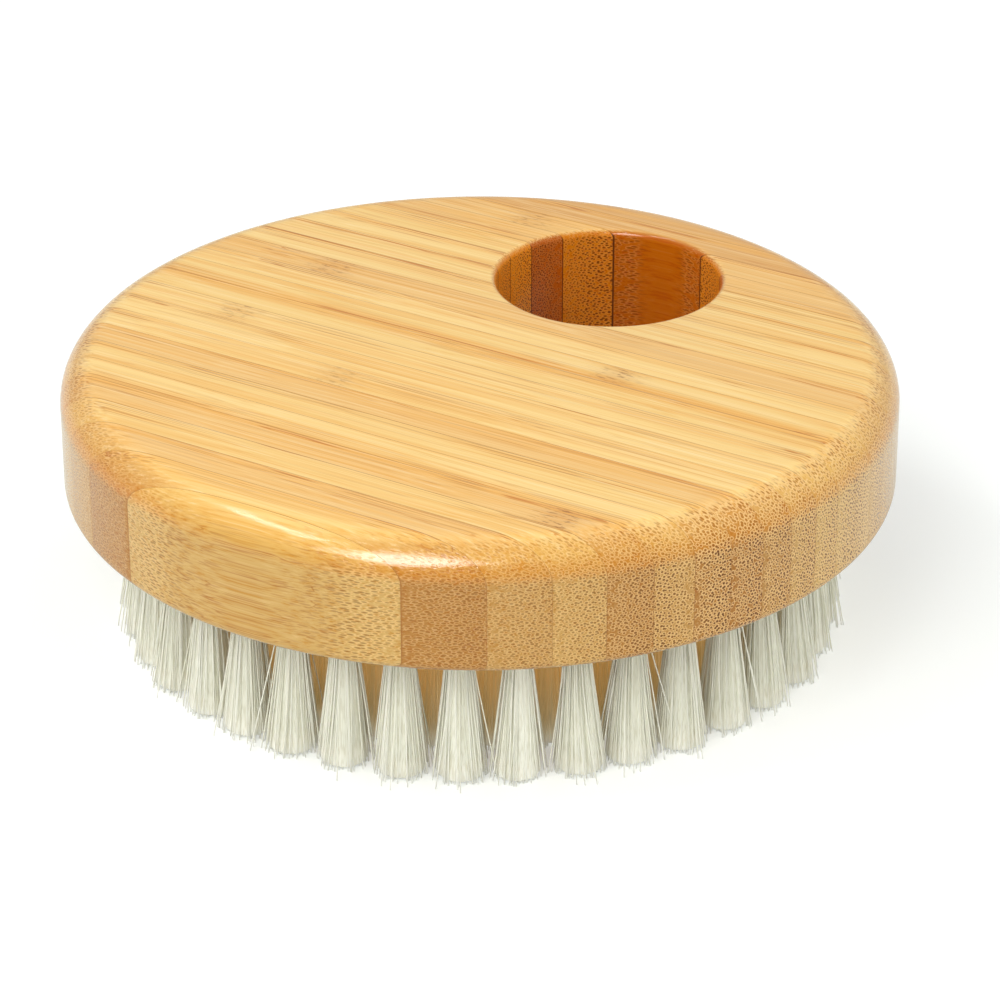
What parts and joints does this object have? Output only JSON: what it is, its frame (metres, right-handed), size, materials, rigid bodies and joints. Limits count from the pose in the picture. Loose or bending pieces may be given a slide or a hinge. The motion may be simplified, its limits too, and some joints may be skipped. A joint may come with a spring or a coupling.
{
  "type": "body brush",
  "caption": "Round palm-held body brush: a laminated bamboo block with a rounded palm edge and a through finger hole, set with rings of bristle tufts.",
  "frame": {"origin": "on the block's axis, in the plane of the bristle tips", "axes": "+Z from the bristle tips up to the palm face; +Y towards the finger hole; the strips' grain is turned 5.2 degrees from +X"},
  "size_m": [0.13, 0.13, 0.044],
  "materials": {
    "bamboo_honey": "satin lacquered bamboo, pale honey",
    "bamboo_tan": "satin lacquered bamboo, tan",
    "bamboo_rose": "satin lacquered bamboo, rosy tan",
    "bristle": "cream bristle, slightly translucent"
  },
  "bodies": {
    "root": {"bamboo_strip_01": "bamboo_tan", "bamboo_strip_02": "bamboo_rose", "bamboo_strip_03": "bamboo_honey", "bamboo_strip_04": "bamboo_tan", "bamboo_strip_05": "bamboo_rose", "bamboo_strip_06": "bamboo_honey", "bamboo_strip_07": "bamboo_tan", "bamboo_strip_08": "bamboo_rose", "bamboo_strip_09": "bamboo_honey", "bamboo_strip_10": "bamboo_tan", "bamboo_strip_11": "bamboo_rose", "bamboo_strip_12": "bamboo_honey", "bamboo_strip_13": "bamboo_tan", "bamboo_strip_14": "bamboo_rose", "bamboo_strip_15": "bamboo_honey", "bamboo_strip_16_left": "bamboo_tan", "bamboo_strip_16_right": "bamboo_tan", "bamboo_strip_17_left": "bamboo_rose", "bamboo_strip_17_right": "bamboo_rose", "bamboo_strip_18_left": "bamboo_honey", "bamboo_strip_18_right": "bamboo_honey", "bamboo_strip_19_left": "bamboo_tan", "bamboo_strip_19_right": "bamboo_tan", "bamboo_strip_20_left": "bamboo_rose", "bamboo_strip_20_right": "bamboo_rose", "bamboo_strip_21_left": "bamboo_honey", "bamboo_strip_21_right": "bamboo_honey", "bamboo_strip_22": "bamboo_tan", "bamboo_strip_23": "bamboo_rose", "bamboo_strip_24": "bamboo_honey", "bristle_row_02": "bristle", "bristle_row_03": "bristle", "bristle_row_04": "bristle", "bristle_row_05": "bristle", "bristle_row_06": "bristle", "bristle_row_07": "bristle", "bristle_row_08": "bristle", "bristle_row_09_left": "bristle", "bristle_row_09_right": "bristle", "bristle_row_10_left": "bristle", "bristle_row_10_right": "bristle", "bristle_row_11_left": "bristle", "bristle_row_11_right": "bristle"}
  },
  "joints": []
}
